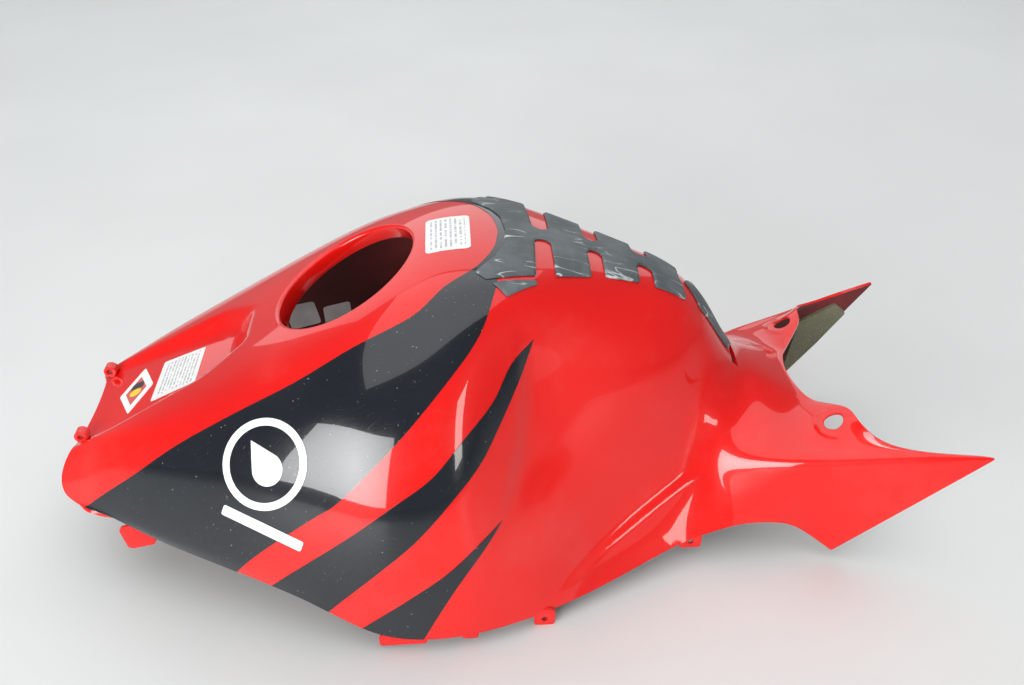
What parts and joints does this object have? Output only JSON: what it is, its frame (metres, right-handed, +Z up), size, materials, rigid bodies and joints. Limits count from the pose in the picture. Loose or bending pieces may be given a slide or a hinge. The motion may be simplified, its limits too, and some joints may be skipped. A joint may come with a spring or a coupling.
{
  "type": "motorcycle fuel tank cover",
  "caption": "Painted plastic cover that closes over a sports motorcycle's fuel tank: round filler opening, knee recesses, twin rear tails, vinyl stripes, rubber tank pad.",
  "frame": {"origin": "on the ground plane, under the middle of the bounding box", "axes": "+X to the motorcycle's front, +Y to the rider's left, +Z up"},
  "size_m": [0.7976, 0.4124, 0.2886],
  "materials": {
    "red_paint": "high-gloss bright red paint on moulded ABS",
    "black_vinyl": "gloss black vinyl film",
    "white_vinyl": "gloss white vinyl film",
    "pad_rubber": "matte grey-black rubber with a fine grain",
    "label_paper": "satin white label film with faint printed lines",
    "heat_felt": "olive heat-shield felt"
  },
  "bodies": {
    "root": {"cover_shell": "red_paint", "side_panel_left": "black_vinyl", "side_panel_right": "black_vinyl", "wave_stripe_left": "black_vinyl", "wave_stripe_right": "black_vinyl", "spear_left": "black_vinyl", "spear_right": "black_vinyl", "emblem_left": "white_vinyl", "emblem_right": "white_vinyl", "emblem_bar_left": "white_vinyl", "emblem_bar_right": "white_vinyl", "pad_body": "pad_rubber", "pad_tail": "pad_rubber", "pad_diamond_left": "pad_rubber", "pad_diamond_right": "pad_rubber", "rear_label": "label_paper", "front_label": "label_paper", "front_sign": "label_paper", "inner_label_front": "label_paper", "inner_label_rear": "label_paper", "heat_pad_left": "heat_felt", "heat_pad_right": "heat_felt"}
  },
  "joints": []
}
